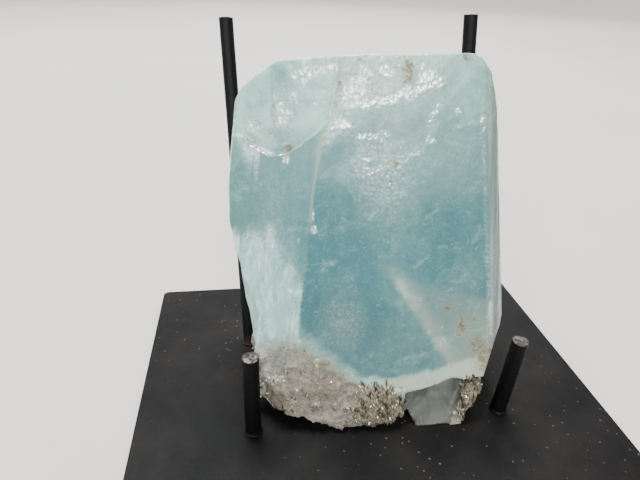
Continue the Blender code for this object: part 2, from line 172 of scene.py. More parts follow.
# Spots on the front: how strong each is, its middle as (u, v) and how far it reaches each way
MICA_POCKETS = ((2.2, (-3, 10), (12.5, 13)), (2.6, (37.5, 10.5), (9, 12)))
FROSTED_SPOTS = ((0.9, (-12, 134), (16, 16)), (0.8, (10, 139), (14, 10)))
ETCHED_SPOTS = (
    (0.8, (-19, 123.5), (6, 4)),
    (0.5, (-4, 107), (18, 16)),
    (0.4, (0, 94), (14, 16)),
    (0.9, (-51, 122), (9, 9)),
    (0.6, (-39, 127), (8, 12)),
    (0.6, (-45, 74), (12, 12)),
)
DEEP_SPOTS = (
    (-0.12, (4, 42), (16, 22)),
    (0.24, (-15, 62), (22, 46)),
    (0.22, (-20, 114), (10, 9)),
    (0.12, (24, 78), (16, 26)),
    (0.08, (-6, 84), (12, 18)),
    (-0.10, (0, 92), (14, 26)),
)
LEFT_DEEP_SPOTS = ((0.12, (-50, 93), (14, 18)), (0.26, (-36, 82), (9, 22)), (0.10, (-40, 103), (12, 12)))
NET_SPOTS = (
    (0.75, (0, 96), (16, 28)),
    (1, (-17, 46), (12, 16)),
    (0.8, (-2, 110), (22, 14)),
    (0.6, (24, 112), (18, 22)),
    (0.7, (-50, 122), (10, 10)),
    (0.5, (-40, 126), (12, 16)),
    (0.45, (-45, 96), (16, 22)),
    (0.8, (-46, 76), (12, 14)),
    (0.5, (30, 62), (12, 12)),
)
GREY_SPOTS = ((1.3, (10, 122.5), (5, 5)), (0.35, (0, 126), (22, 6)), (0.4, (-33, 116), (6, 5)))
STAIN_SPOTS = (
    (1.6, (6.4, 142.5), (3.8, 8)),
    (1.3, (2.3, 109.3), (2.4, 2.8)),
    (1, (26, 50.8), (4.5, 4)),
    (1.15, (32, 42.5), (5, 8)),
    (1.5, (43, 29), (8, 12)),
    (1.2, (38, 36), (4.5, 5)),
    (0.8, (37.2, 46), (2.5, 3)),
    (1.5, (-39.8, 115.6), (2.8, 2.2)),
    (1.5, (28.5, 148.5), (3, 3)),
    (0.9, (-19.6, 138), (1.9, 10)),
    (0.7, (-25.5, 117), (1.6, 6)),
    (1.1, (-33, 33), (6, 4)),
    (1.3, (-25, 28.5), (8, 3.5)),
    (1.1, (-18, 23.5), (5, 3)),
)

# Colours of the stand and the floor
PLATE_COAT = (0.0033, 0.0034, 0.0037)
PALE_DUST = (0.20, 0.19, 0.17)
BROWN_SMEAR = (0.30, 0.25, 0.19)
ROD_COAT = (0.0018, 0.0020, 0.0026)
DULL_STEEL = (0.008, 0.007, 0.007)
BARE_STEEL = (0.095, 0.083, 0.079)
WELD_RUST = (0.022, 0.010, 0.007)
FLOOR_SHADE = (0.43, 0.417, 0.40)
FLOOR_LIGHT = (0.46, 0.447, 0.43)

# Colours of the crystal's body, from deep to milky, and of its veils
DEEP_BLUE = (0.062, 0.240, 0.274)
PALE_GREEN = (0.325, 0.575, 0.52)
MILKY_GREEN = (0.52, 0.80, 0.73)
FIBRE_SHADE = (0.20, 0.43, 0.46)
FIBRE_WHITE = (0.80, 0.97, 0.92)
WARM_CREAM = (0.51, 0.545, 0.43)
VEIN_PALE = (0.60, 0.76, 0.725)
CURD_WHITE = (0.66, 0.82, 0.78)
# The painted shade of the hollows in the veils
PIT_SHADE = (0.16, 0.29, 0.285)

# Colours of the crystal's flaws, with the painted highlight of its glints and sparks and the painted glow
# round them
CRUMB_WHITE = (0.74, 0.90, 0.85)
PAINTED_GLINT_WHITE = (0.86, 1.0, 0.95)
PAINTED_GLOW_PALE = (0.64, 0.84, 0.79)
SPECK_PALE = (0.66, 0.77, 0.74)
STRIPE_DARK = (0.14, 0.19, 0.17)
STRIPE_PALE = (0.53, 0.63, 0.57)
CHIP_RIM_PALE = (0.76, 0.86, 0.79)
RIDGE_WORN = (0.47, 0.52, 0.44)
SMOKY_GREY = (0.245, 0.295, 0.29)
STAIN_OLIVE = (0.43, 0.40, 0.28)
STAIN_BROWN = (0.21, 0.18, 0.09)
SAND_DARK = (0.15, 0.138, 0.105)
SAND_PALE = (0.40, 0.38, 0.32)
SAND_STAINED = (0.23, 0.19, 0.10)

# Colours of what grew with it
MATRIX_DARK = (0.085, 0.076, 0.058)
MATRIX_TAN = (0.31, 0.29, 0.235)
MATRIX_PALE = (0.52, 0.50, 0.45)
MATRIX_BLACK = (0.08, 0.07, 0.06)
MATRIX_RUST = (0.17, 0.12, 0.065)
QUARTZ_DARK = (0.047, 0.053, 0.046)
QUARTZ_GREY = (0.136, 0.147, 0.127)
QUARTZ_FLECK = (0.45, 0.46, 0.43)
GRAIN_DARK = (0.085, 0.072, 0.052)
GRAIN_TAN = (0.33, 0.305, 0.25)
GRAIN_PALE = (0.55, 0.54, 0.50)
GRAIN_BLACK = (0.05, 0.045, 0.04)
# White of the whitest grains, partly a painted highlight
GRAIN_WHITE_GLINT = (0.84, 0.83, 0.79)
GRAIN_RUST = (0.19, 0.135, 0.075)
MICA_DARK = (0.024, 0.017, 0.009)
MICA_SILVER = (0.70, 0.62, 0.46)
MICA_BROWN = (0.22, 0.175, 0.11)


# ---- node trees


class Graph:
    """Short hand for building a node tree."""

    def __init__(self, tree):
        self.tree = tree

    def node(self, kind, inputs=None, **settings):
        made = self.tree.nodes.new(kind)
        for name, value in settings.items():
            setattr(made, name, value)
        self.fill(made, inputs or {})
        return made

    def fill(self, node, inputs):
        """Feeds a node's inputs, each given by its name or its place in the row."""
        for name, value in inputs.items():
            self.feed(node.inputs[name], value)

    def feed(self, target, value):
        """Links an output to this input, or sets a plain value on it."""
        if isinstance(value, bpy.types.NodeSocket):
            self.tree.links.new(value, target)
        elif target.type == "RGBA":
            target.default_value = (*value, 1)
        else:
            target.default_value = value

    def noise(self, where, scale, detail=4.0, roughness=0.5, distortion=0.0):
        inputs = {"Vector": where, "Scale": scale, "Detail": detail, "Roughness": roughness}
        return self.node("ShaderNodeTexNoise", {**inputs, "Distortion": distortion}).outputs["Fac"]

    def cells(self, where, scale):
        """How far each point lies from the nearest of many scattered ones."""
        return self.node("ShaderNodeTexVoronoi", {"Vector": where, "Scale": scale}).outputs["Distance"]

    def span(self, value, low, high, to_low=0.0, to_high=1.0):
        """Stretches low..high to to_low..to_high, clamped."""
        ends = {"From Min": low, "From Max": high, "To Min": to_low, "To Max": to_high}
        return self.node("ShaderNodeMapRange", {"Value": value, **ends}).outputs["Result"]

    def spread(self, noise_value, low=0.0, high=1.0):
        """A noise, which keeps mostly to 0.3 to 0.7, stretched to low..high."""
        return self.span(noise_value, 0.3, 0.7, low, high)

    def math(self, operation, *values):
        return self.node("ShaderNodeMath", dict(enumerate(values)), operation=operation).outputs[0]

    def chain(self, operation, first, *others):
        for value in others:
            first = self.math(operation, first, value)
        return first

    def plus(self, *values):
        return self.chain("ADD", *values)

    def times(self, *values):
        return self.chain("MULTIPLY", *values)

    def tint(self, factor, first, second):
        made = self.node("ShaderNodeMix", {"Factor": factor}, data_type="RGBA")
        colours = [socket for socket in made.inputs if socket.type == "RGBA"]
        self.feed(colours[0], first)
        self.feed(colours[1], second)
        return next(socket for socket in made.outputs if socket.type == "RGBA")

    def paint(self, base, *coats):
        """Lays colours over the base in turn, each given with its cover."""
        for cover, colour in coats:
            base = self.tint(cover, base, colour)
        return base

    def stretched(self, where, scale):
        return self.node("ShaderNodeMapping", {"Vector": where, "Scale": scale}).outputs["Vector"]

    def turned(self, where, angle, scale):
        """The place turned about w, then stretched."""
        made = self.node("ShaderNodeMapping", {"Vector": where, "Rotation": (0, angle, 0)})
        return self.stretched(made.outputs["Vector"], scale)

    def veins(self, where, scale, width, distortion):
        """Thin curling lines, where a noise crosses its middle."""
        off_middle = self.math("SUBTRACT", self.noise(where, scale, 7, 0.66, distortion), 0.5)
        return self.span(self.math("ABSOLUTE", off_middle), width, 0.0)

    def attribute(self, name, output="Fac"):
        return self.node("ShaderNodeAttribute", attribute_name=name).outputs[output]

    def object_place(self):
        return self.node("ShaderNodeTexCoord").outputs["Object"]

    def bump(self, height, strength, distance, under=None):
        made = self.node("ShaderNodeBump", {"Height": height, "Strength": strength, "Distance": distance})
        if under is not None:
            self.feed(made.inputs["Normal"], under)
        return made.outputs["Normal"]


def new_material(name):
    material = bpy.data.materials.new(name)
    material.use_nodes = True
    return material, Graph(material.node_tree), material.node_tree.nodes["Principled BSDF"]


# ---- places and fields


def crystal_turn():
    """The crystal's own axes, as the columns of a matrix."""
    return np.array(Matrix.Rotation(CRYSTAL_TURN, 3, "Z") @ Matrix.Rotation(-CRYSTAL_LEAN, 3, "X"))


def to_axes(points):
    """World places in metres to (u, w, v) in mm."""
    return (points / MM - np.array(CRYSTAL_FOOT_MM)) @ crystal_turn()


def ramp(low, high, value):
    """0 up to low and 1 from high on, or the other way round where low is the larger, with a smooth rise."""
    t = np.clip((value - low) / (high - low), 0, 1)
    return t * t * (3 - 2 * t)


def field(points, size, seed, octaves=4):
    """A noise of this grain size at each point, about -1 to 1."""
    offset = Vector((seed * 17.3, seed * 5.1, seed * 9.7))
    return np.array([noise.fractal(Vector(p) / size + offset, 0.9, 2.0, octaves) for p in points])


def facets(points, size, seed):
    """Flat faces of this size, each tilted its own way, about -1 to 1, as on a break across the grain."""
    noise.seed_set(seed)  # noise_vector follows it
    heights = np.empty(len(points))
    for i, point in enumerate(points):
        place = Vector(point) / size + Vector((seed * 3.7, 0, 0))
        nearest = noise.voronoi(place)[1][0]
        tilt = noise.noise_vector(nearest * 7.1)
        heights[i] = (place - nearest).dot(tilt)
    return heights


def blob(p, centre, radii):
    """1 at the centre, given as (u, v), and 0 from the radii outwards."""
    du = (p[:, 0] - centre[0]) / radii[0]
    dv = (p[:, 2] - centre[1]) / radii[1]
    return np.clip(1 - np.sqrt(du * du + dv * dv), 0, 1)


def blobs(p, spots):
    return sum(strength * blob(p, centre, radii) for strength, centre, radii in spots)


def beside_line(p, line):
    """How far each point's (u, v) lies from a line, positive on its left as the line runs."""
    best = np.full(len(p), 1e9)
    signed = np.zeros(len(p))
    where = p[:, [0, 2]]
    for start, end in zip(line[:-1], line[1:]):
        start = np.array(start, float)
        along = np.array(end, float) - start
        t = np.clip((where - start) @ along / (along @ along), 0, 1)
        gap = where - start - t[:, None] * along
        distance = np.hypot(*gap.T)
        side = along[0] * (where[:, 1] - start[1]) - along[1] * (where[:, 0] - start[0])
        closer = distance < best
        best[closer] = distance[closer]
        signed[closer] = (np.sign(side) * distance)[closer]
    return signed


def height_on_line(u, line):
    """The v of a line that runs to the right, at each u."""
    return np.interp(u, [point[0] for point in line], [point[1] for point in line])


def across_on_line(v, line):
    """The u of a line that runs upwards, at each v."""
    return height_on_line(v, [point[::-1] for point in line])


def above_frost_line(p):
    return p[:, 2] - height_on_line(p[:, 0], FROST_LINE) + 1.5 * field(p, 4, 36, 3)


def front_face_depth(u):
    """The w of the main face and, left of the solid's ridge, of the left face."""
    return np.maximum(0, (FRONT_LEFT_RIDGE_MM - u) * math.tan(FRONT_LEFT_FACE_TURN))


def side_turn(normal):
    """How far each face turns to the right, in degrees."""
    return np.degrees(np.arctan2(normal[:, 0], -normal[:, 1]))


# ---- lights, camera, floor


def new_object(name, data):
    made = bpy.data.objects.new(name, data)
    bpy.context.scene.collection.objects.link(made)
    return made


def make_camera():
    yaw, pitch = CAMERA_YAW, CAMERA_PITCH
    ahead = Vector((math.sin(yaw) * math.cos(pitch), math.cos(yaw) * math.cos(pitch), -math.sin(pitch)))
    level = Vector((math.cos(yaw), -math.sin(yaw), 0))
    right = Matrix.Rotation(-CAMERA_ROLL, 3, ahead) @ level
    up = right.cross(ahead)
    data = bpy.data.cameras.new("camera")
    data.sensor_width = CAMERA_SENSOR_MM
    data.lens = CAMERA_LENS_MM
    data.clip_start = 0.01
    camera = new_object("camera", data)
    turn = Matrix((right, up, -ahead)).transposed().to_4x4()
    camera.matrix_world = Matrix.Translation(Vector(CAMERA_PLACE_MM) * MM) @ turn
    bpy.context.scene.camera = camera


def make_floor():
    """A round floor whose rim sweeps up into a wall, so that no horizon shows."""
    sweep = [(FLOOR_REACH + FLOOR_SWEEP * math.sin(turn), FLOOR_SWEEP * (1 - math.cos(turn)))
             for turn in np.linspace(0, math.pi / 2, 13)]
    profile = [(0.6, 0.0), (1.8, 0.0), *sweep, (FLOOR_REACH + FLOOR_SWEEP, WALL_TOP)]
    around = np.linspace(0, 2 * math.pi, 97)[:-1]
    bm = bmesh.new()
    middle = bm.verts.new((0, 0, 0))
    rings = [[bm.verts.new((reach * math.cos(a), reach * math.sin(a), z)) for a in around]
             for reach, z in profile]
    for i in range(len(around)):
        after = (i + 1) % len(around)
        bm.faces.new((middle, rings[0][i], rings[0][after]))
        for inner, outer in zip(rings[:-1], rings[1:]):
            bm.faces.new((inner[i], outer[i], outer[after], inner[after]))
    mesh = bpy.data.meshes.new("floor")
    bm.to_mesh(mesh)
    bm.free()
    mesh.shade_smooth()
    floor = new_object("floor", mesh)
    material, g, shader = new_material("pale_floor")
    cast = g.spread(g.noise(g.object_place(), 3, 3, 0.5))
    g.fill(shader, {"Base Color": g.tint(cast, FLOOR_SHADE, FLOOR_LIGHT), "Roughness": 0.85})
    mesh.materials.append(material)


def add_area_light(name, place, target, size, power, color):
    data = bpy.data.lights.new(name, "AREA")
    data.shape = "RECTANGLE"
    data.size, data.size_y = size
    data.energy = power
    data.color = color
    light = new_object(name, data)
    aim = Vector(target) - Vector(place)
    light.matrix_world = Matrix.Translation(place) @ aim.to_track_quat("-Z", "Y").to_matrix().to_4x4()


def make_lights():
    middle = (0, 0, 0.09)
    add_area_light("window_light", (0.10, -2.30, 1.70), middle, (1.1, 0.9), 62, (1.0, 0.995, 0.98))
    add_area_light("left_panel", (-1.60, -1.90, 1.60), middle, (0.8, 0.6), 38, (0.98, 0.99, 1.0))
    add_area_light("top_light", (-0.30, 0.95, 2.50), middle, (1.4, 1.0), 215, (1.0, 1.0, 1.0))
    add_area_light("back_light", (0.80, 2.40, 1.50), middle, (2.4, 1.0), 60, (0.97, 0.99, 1.0))
    world = bpy.data.worlds.new("studio")
    world.use_nodes = True
    background = world.node_tree.nodes["Background"]
    background.inputs["Color"].default_value = (0.95, 0.96, 0.96, 1)
    background.inputs["Strength"].default_value = 0.42
    bpy.context.scene.world = world


# ---- mesh work


def finished_mesh(maker):
    """The mesh that an object's modifiers make. The object is removed."""
    graph = bpy.context.evaluated_depsgraph_get()
    mesh = bpy.data.meshes.new_from_object(maker.evaluated_get(graph))
    bpy.data.objects.remove(maker)
    return mesh


def remeshed(node, voxel_mm):
    """A node's solid as an even mesh, laid back onto the solid's own faces."""
    solid = new_object("solid", node.data.copy())
    bm = bmesh.new()
    bm.from_mesh(solid.data)
    bmesh.ops.remove_doubles(bm, verts=bm.verts[:], dist=0.01 * MM)
    bm.to_mesh(solid.data)
    bm.free()
    even = new_object("even", solid.data.copy())
    remesh = even.modifiers.new("even", "REMESH")
    remesh.mode = "VOXEL"
    remesh.voxel_size = voxel_mm * MM
    wrap = even.modifiers.new("faces", "SHRINKWRAP")
    wrap.target = solid
    wrap.wrap_method = "NEAREST_SURFACEPOINT"
    mesh = finished_mesh(even)
    bpy.data.objects.remove(solid)
    mesh.materials.clear()
    mesh.shade_smooth()
    return mesh


def vectors_of(rows, name):
    vectors = np.empty(len(rows) * 3)
    rows.foreach_get(name, vectors)
    return vectors.reshape(-1, 3)


def places_of(mesh):
    return vectors_of(mesh.vertices, "co")


def normals_of(mesh):
    return vectors_of(mesh.vertex_normals, "vector")


def press_in(mesh, places, normals, depth_mm):
    """Moves each point against its normal by its depth."""
    moved = places - normals * depth_mm[:, None] * MM
    mesh.vertices.foreach_set("co", moved.ravel())
    mesh.update()


def set_field(mesh, name, values):
    """Stores a number or a place with each point."""
    values = np.asarray(values, np.float32)
    kind, part = ("FLOAT", "value") if values.ndim == 1 else ("FLOAT_VECTOR", "vector")
    mesh.attributes.new(name, kind, "POINT").data.foreach_set(part, values.ravel())


def add_piece(name, mesh, slot, *replaced):
    piece = new_object(name, mesh)
    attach(piece, "root")
    if replaced:
        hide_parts(*replaced)
    return piece


# ---- stand


def coat(g, place, color, grain):
    """Fine textured black coat: its colour, roughness and surface."""
    mottle = g.noise(place, 45, 5, 0.6)
    fine = g.noise(place, grain, 3, 0.55)
    colour = g.tint(g.spread(mottle), color, tuple(1.8 * c for c in color))
    return colour, g.spread(fine, 0.42, 0.60), g.bump(fine, 0.3, 0.0002)


def plate_material():
    """The coat with a few pale specks of dust and faint brownish smears."""
    material, g, shader = new_material("plate_coat")
    place = g.object_place()
    colour, roughness, surface = coat(g, place, PLATE_COAT, 1500)
    specks = g.span(g.cells(place, 260), 0.13, 0.07)
    cover = g.span(g.noise(place, 12, 4, 0.55), 0.46, 0.72)
    haze = g.times(g.span(g.noise(place, 20, 6, 0.65), 0.42, 0.78), 0.035)
    g.fill(shader, {
        "Base Color": g.paint(colour, (g.times(specks, cover, 0.5), PALE_DUST), (haze, BROWN_SMEAR)),
        "Roughness": roughness,
        "Normal": surface,
        "Specular IOR Level": 0.045,
    })
    return material


def rod_material():
    """The same coat, bare metal where the rod was cut and rust at the weld."""
    material, g, shader = new_material("rod_coat")
    place = g.object_place()
    colour, roughness, surface = coat(g, place, ROD_COAT, 1200)
    ragged = g.noise(place, 1300, 4, 0.65)
    bare = g.span(g.plus(g.attribute("bare"), g.spread(ragged, -0.3, 0.3)), 0.45, 0.6)
    rust = g.span(g.plus(g.attribute("rust"), g.spread(ragged, -0.35, 0.35)), 0.4, 0.75)
    steel = g.tint(g.span(g.noise(place, 900, 5, 0.7), 0.36, 0.62), DULL_STEEL, BARE_STEEL)
    g.fill(shader, {
        "Base Color": g.paint(colour, (bare, steel), (rust, WELD_RUST)),
        "Metallic": g.times(bare, 0.5),
        "Roughness": g.math("SUBTRACT", roughness, g.times(bare, 0.06)),
        "Normal": surface,
        "Specular IOR Level": 0.14,
    })
    return material


def rod_line(places):
    """A point on the rod's middle line and the line's direction, from two slices of its points."""
    z = places[:, 2]
    low, high = z.min(), z.max()
    middles = []
    for share in (0.3, 0.8):
        level = low + share * (high - low)
        middles.append(places[np.abs(z - level) < 0.06 * (high - low)].mean(axis=0))
    direction = middles[1] - middles[0]
    return middles[0], direction / np.linalg.norm(direction)


def cut_end(p, along, height, around, top):
    """Depth of the marks that the cutter left on the end: its scratches, the torn line and the rolled rim."""
    end = ramp(0.75, 0.93, along) * (height > top - 3)
    across = around[:, 0] * 0.8 + around[:, 1] * 0.6
    radius = np.hypot(around[:, 0], around[:, 1])
    torn = ramp(1.0, 0.2, np.abs(across + 0.3 * field(p, 2.0, 3, 2)))
    scratches = 0.03 * np.sin(across * 2 * math.pi / 0.9)
    rim = 0.25 * ramp(ROD_RADIUS_MM - 0.7, ROD_RADIUS_MM, radius)
    return end * (0.45 * torn * (0.5 + np.abs(field(p, 0.9, 5, 3))) + scratches + 0.05 + rim)


def make_rod(name, node, material):
    mesh = remeshed(node, ROD_VOXEL_MM)
    places, normals = places_of(mesh), normals_of(mesh)
    p = places / MM
    middle, direction = rod_line(p)
    height = (p - middle) @ direction
    around = p - middle - height[:, None] * direction
    along = normals @ direction
    top = height.max()
    foot = height - height.min()
    depth = 0.035 * (1 + field(p, 1.4, 2, 2))
    depth += 0.05 * np.maximum(0, field(p * (1, 1, 0.12), 3.0, 8, 2))
    depth += 0.28 * ramp(2.2, 0.6, foot) * np.maximum(0, field(p, 1.3, 6, 3) + 0.3) * (foot > 0.5)
    depth += cut_end(p, along, height, around, top)
    press_in(mesh, places, normals, np.clip(depth, 0, 0.9))
    worn_rim = 0.65 * ramp(top - 1.0, top - 0.2, height)
    set_field(mesh, "bare", np.maximum(ramp(0.55, 0.85, along) * (height > top - 3), worn_rim))
    set_field(mesh, "rust", ROD_RUST[name] * ramp(9.0, 1.0, foot))
    mesh.materials.append(material)
    return add_piece(f"{name}_rod", mesh, "coated_steel_rod", name)


def dress_stand(frame):
    plate = frame["nodes"]["base_plate"]
    plate.data.materials.clear()
    plate.data.materials.append(plate_material())
    rod = rod_material()
    for name in ROD_RUST:
        make_rod(name, frame["nodes"][name], rod)


# ---- the crystal's shape


def crystal_regions(p):
    """How far each point belongs to the matrix, the quartz block, the mica and the sandy foot, 0 to 1."""
    u, w, v = p.T
    ragged = 2.4 * field(p, 6.0, 3, 3) + 0.7 * field(p, 1.9, 4, 2)
    front = w < front_face_depth(u) + MATRIX_SKIN_MM
    matrix = np.where(front, height_on_line(u, MATRIX_LIMIT) + ragged - v, -9)
    round_foot = 10 + math.tan(CRYSTAL_LEAN) * w + 1.6 * ragged - v
    matrix = np.where(w > MATRIX_SKIN_MM, np.maximum(matrix, round_foot), matrix)
    quartz_right = 28.8 + 0.37 * v + 0.2 * ragged
    right_foot = np.minimum(u - quartz_right, 19.2 + 0.3 * ragged - v)
    matrix = np.where(w < 16, np.maximum(matrix, right_foot), matrix)
    sides = np.minimum(u - QUARTZ_LEFT_MM, quartz_right - u)
    sides = np.minimum(sides, np.minimum(QUARTZ_DEPTH_MM - w, w + 1.5))
    top = np.minimum(QUARTZ_TOP_MM, 13.6 + 0.31 * (u - QUARTZ_LEFT_MM)) + 0.10 * ragged - v
    quartz = ramp(-0.5, 0.5, np.minimum(sides, top))
    mica = blobs(p, MICA_POCKETS) * (w < 14)
    mica = np.maximum(mica * (1 - quartz), 0.05 * (matrix > 0.5))
    crust = ramp(-6, 4, height_on_line(u, SAND_LIMIT) + ragged - v) * (u < 12)
    sand = np.where(w < FRONT_DEPTH_MM, crust, matrix > 0)
    return ramp(-0.6, 0.6, matrix) * (1 - quartz), quartz, np.clip(mica, 0, 1), sand


def growth_lines(p, normal):
    """Fine upright lines and low steps, strongest on the faces that turn to the sides."""
    turn = side_turn(normal)
    upright = ramp(0.8, 0.2, np.abs(normal[:, 2]))
    side = upright * (0.10 + 0.90 * ramp(12, 30, turn) + 0.25 * ramp(-14, -34, turn))
    lines = field(p * (1, 1, 0.012), 1.7, 7, 3) + 0.6
    steps = np.floor(5 * field(p * (1, 1, 0.04), 8.0, 11, 2)) / 5 + 1
    return side * (0.17 * lines + 0.22 * steps)


def chip_marks(p, inside):
    """Faint ripples from where the chip was struck, its finely stepped rim and its own low edge."""
    u, v = p[:, 0], p[:, 2]
    reach = np.hypot(u + 22, v - 152) + 3.0 * field(p, 12, 21, 3)
    ripples = 0.05 * np.sin(reach * 2 * math.pi / 7.5) * (1 + field(p, 9, 23, 2))
    hackle = 0.35 * np.maximum(0, field(p, 2.2, 22, 3)) * ramp(7, 0.5, inside)
    edge = -45.0 + 0.06 * (v - 130) + 0.4 * field(p, 5, 24, 2)
    slope = 0.04 * np.clip(edge - u, 0, 9) + 0.25 * ramp(-0.4, 0.4, edge - u)
    return ramp(0, 1.5 + 6 * ramp(-45, -51, u), inside) * (0.12 + ripples + hackle + slope)


def ridge_shift(p):
    """How far the left face has to go in so that it meets the front along the bowed ridge."""
    u, w, v = p.T
    ridge_u = across_on_line(v, RIDGE_LINE)
    reach = np.clip(ridge_u - np.maximum(u, FRONT_LEFT_RIDGE_MM), 0, 6) * math.tan(FRONT_LEFT_FACE_TURN)
    return reach * ramp(-60, -48, u) * ramp(123, 117, v) * (w < 20)


def left_edge_depth(p, normal):
    """How far the left side has to go in to reach its broken lower edge and its worn upper corner."""
    u, w, v = p.T
    backward = np.clip(w, 0, 46) - 12
    edge = across_on_line(v, LEFT_EDGE) - 0.075 * backward
    corner = across_on_line(v, LEFT_CORNER) - 0.06 * backward
    edge = np.where(v < LEFT_EDGE[-1][1], edge, np.where(v > LEFT_CORNER[0][1], corner, -99))
    over = np.clip(edge + 0.25 * field(p, 7, 12, 3) - u, 0, 7) * ramp(80, 55, w)
    leftward = -normal[:, 0]
    return np.clip(over / np.maximum(0.5, leftward), 0, DEEPEST_MM) * ramp(-0.02, 0.3, leftward)


def foot_rise(p):
    """How far the foot's front edge is raised off the plate, to its broken lower edge."""
    u, w, v = p.T
    edge = height_on_line(u, FOOT_EDGE)
    edge += ramp(0, 2, edge) * (0.7 * field(p * (1, 1, 0), 3.5, 15, 3))
    return 0.92 * np.clip(edge - v, 0, 9) * ramp(21, 6, w - front_face_depth(u))


def frost_field(p, ridge):
    """Where the front is etched and broken, 0 to 1."""
    frosted = ramp(-1.5, 2.5, above_frost_line(p)) * (ridge > 0)
    frost = frosted * (0.35 + blobs(p, FROSTED_SPOTS)) + blobs(p, ETCHED_SPOTS)
    return np.clip(np.where(p[:, 1] < FRONT_DEPTH_MM, frost, 0), 0, 1)


def shape_crystal(mesh):
    """Cuts etching, growth lines, breaks and grain into the solid's faces, and raises the foot's front edge.

    Returns each point's place and normal in the crystal's axes, and its fields."""
    places, normals = places_of(mesh), normals_of(mesh)
    p = to_axes(places)
    normal = normals @ crystal_turn()
    w, v = p[:, 1], p[:, 2]
    near = w < FRONT_DEPTH_MM
    matrix, quartz, mica, sand = crystal_regions(p)
    ridge = np.where(near, -beside_line(p, RIDGE_LINE), OFF_FRONT_MM)
    chip = np.where(near, -beside_line(p, CHIP_LINE), -OFF_FRONT_MM)
    frost = frost_field(p, ridge)
    own = (1 - matrix) * (1 - quartz)
    depth = own * (0.08 * (field(p, 16.0, 1, 3) + 1) + growth_lines(p, normal))
    flakes = 0.35 * np.maximum(0, facets(p, 4.2, 2) + 0.3) + 0.25 * np.maximum(0, field(p, 2.4, 9))
    depth += own * frost * flakes
    depth += own * (chip_marks(p, chip) + ridge_shift(p))
    ledge = ramp(-0.4, 0.5, ridge) * ramp(3.0, 0.8, ridge) * (v > LEDGE_LOW_MM) * (v < LEDGE_TOP_MM)
    depth += own * 0.2 * ledge
    depth += left_edge_depth(p, normal)
    depth += matrix * (0.55 * np.maximum(0, field(p, 2.0, 4) + 0.35) + 0.6 * np.maximum(0, field(p, 6, 5, 2)))
    depth += matrix * 0.7 * np.maximum(0, facets(p, 3.0, 6))
    depth += quartz * 0.65 * (field(p, 7.0, 6, 3) + 0.7)
    level = places[:, 2] < (PLATE_TOP_MM + 0.6) * MM
    lift = foot_rise(p)[:, None] * crystal_turn()[:, 2] * MM
    press_in(mesh, places + lift, normals, np.where(level, 0, np.clip(depth, 0, DEEPEST_MM)))
    fields = {"matrix": matrix, "quartz": quartz, "mica": mica, "sand": sand, "ridge": ridge, "chip": chip,
              "frost": frost}
    return p, normal, fields


# ---- the crystal's colours


# How strongly each point takes the painted glints, the painted highlight on the breaks, 0 to 1
def painted_glint_field(p):
    shine = np.zeros(len(p))
    for line, half_width, strength in PAINTED_GLINTS:
        shine = np.maximum(shine, strength * ramp(2.6 * half_width, 0, np.abs(beside_line(p, line))))
    return np.clip(shine, 0, 1)


class Front:
    """Where the parts of the crystal's front are, and how strong its colours are there."""

    def __init__(self, p, fields):
        u, _, v = p.T
        chip_soft = 0.6 + 4 * ramp(-46, -56, u)
        band = beside_line(p, PALE_BAND)
        white_top = height_on_line(u, WHITE_TOP) + 4.5 * field(p * (1, 1, 0.4), 4.5, 32, 4)
        self.p, self.u, self.v = p, u, v
        self.chip = ramp(-chip_soft, chip_soft, fields["chip"])
        self.main = ramp(-0.6, 0.6, fields["ridge"]) * (1 - self.chip)
        self.left = ramp(0.6, -0.6, fields["ridge"]) * (1 - self.chip)
        self.chip_right = ramp(-45.5, -44.5, u)
        self.corner = ramp(-1.0, 1.0, band) * ramp(60, 54, v + 0.25 * (u - 30))
        self.streak = ramp(-2.0, 0.0, band) * ramp(8.0, 1.0, band) * ramp(72, 62, v)
        self.haze = ramp(-9.0, 0.0, band) * ramp(9.0, 0.0, band) * ramp(88, 66, v)
        self.frosted = self.main * ramp(-1.2, 1.6, above_frost_line(p))
        self.above_foot = v - height_on_line(u, BLUE_FOOT) + 0.8 * field(p, 4, 35, 3)
        self.foot_fade = 1 + 1.6 * ramp(-5, -20, u)
        self.below_white = white_top - v

    def deep(self):
        u, v, fade = self.u, self.v, self.foot_fade
        main = 0.60 + 0.30 * ramp(112, 86, v) - 0.07 * ramp(4, 34, u)
        main += blobs(self.p, DEEP_SPOTS)
        main -= 0.26 * ramp(108, 132, v) + 0.14 * ramp(134, 148, v) + 0.30 * self.frosted
        main *= ramp(-3.0 * fade, 2.5 * fade, self.above_foot)
        main *= 1 - 0.18 * self.corner - 0.12 * self.streak - 0.16 * self.haze
        left = 0.60 * ramp(123, 106, v) + blobs(self.p, LEFT_DEEP_SPOTS)
        inner = 0.38 + 0.12 * blob(self.p, (-38, 122), (9, 14))
        chip = 0.12 + self.chip_right * ramp(-28, -43, u) * inner
        return self.main * main + self.left * left + self.chip * chip

    def milk(self):
        v, fade = self.v, self.foot_fade
        cloudy_v = v + 5 * field(self.p, 10, 33, 3)
        main = 0.34 * ramp(108, 130, cloudy_v) + 0.16 * ramp(128, 146, v)
        main += 0.40 * self.frosted + 0.95 * ramp(2.2 * fade, -1.2 * fade, self.above_foot) / fade
        main += 0.20 * self.streak + 0.04 * self.corner + 0.07 * blob(self.p, (0, 92), (14, 26))
        left = 0.95 * ramp(-6, 7, self.below_white) + 0.25 * blob(self.p, (-58, 105), (9, 25))
        chip = 0.84 - 0.36 * self.chip_right * ramp(-30, -43, self.u)
        return self.main * main + self.left * left + self.chip * chip

    def cream(self):
        rim = ramp(1.5, -1.0, self.above_foot) * ramp(-8, 4, self.u)
        corner = self.corner * (0.25 + 0.45 * blob(self.p, (43, 38), (18, 24)))
        return self.main * (0.95 * rim + 0.42 * self.streak + corner)

    def fibrous(self):
        return self.left * ramp(-8, 6, self.below_white) * (0.65 + 0.35 * ramp(60, 74, self.v))


